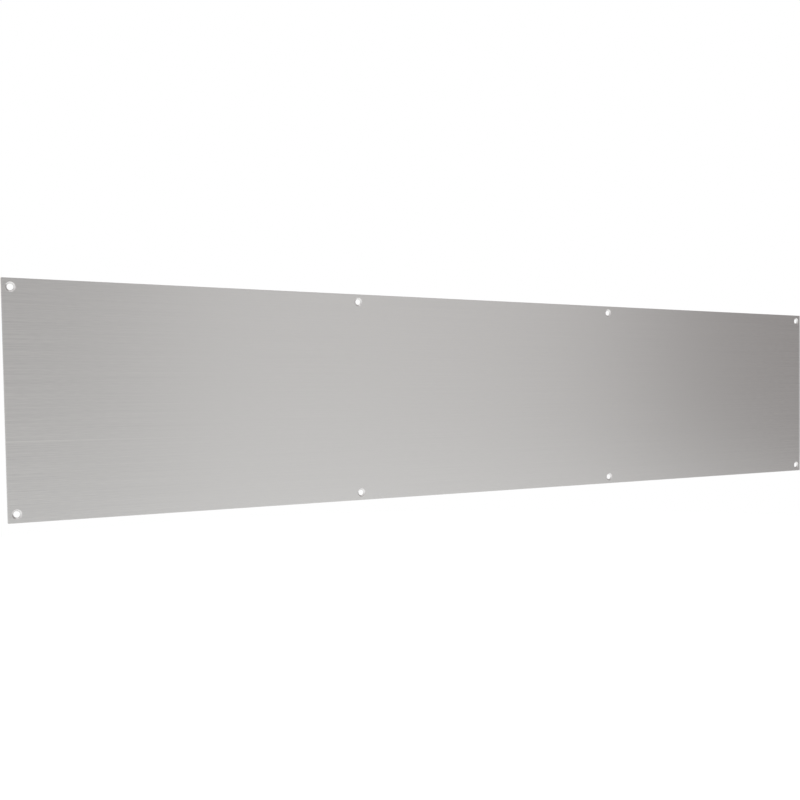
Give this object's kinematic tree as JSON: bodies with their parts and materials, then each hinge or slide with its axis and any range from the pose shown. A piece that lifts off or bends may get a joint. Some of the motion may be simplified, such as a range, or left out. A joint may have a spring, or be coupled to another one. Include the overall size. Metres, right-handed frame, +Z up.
{
  "type": "kick plate",
  "caption": "Flat rectangular door kick plate in brushed stainless steel, with a row of countersunk screw holes along each long edge.",
  "frame": {"origin": "middle of the flat back face, which lies on y = 0 against the door", "axes": "+X along the length of the plate, +Y into the door, +Z up; the brushed face looks toward -Y"},
  "size_m": [0.75, 0.0012, 0.15],
  "materials": {
    "brushed_stainless": "satin, brushed along the length"
  },
  "bodies": {
    "root": {"plate": "brushed_stainless"}
  },
  "joints": []
}
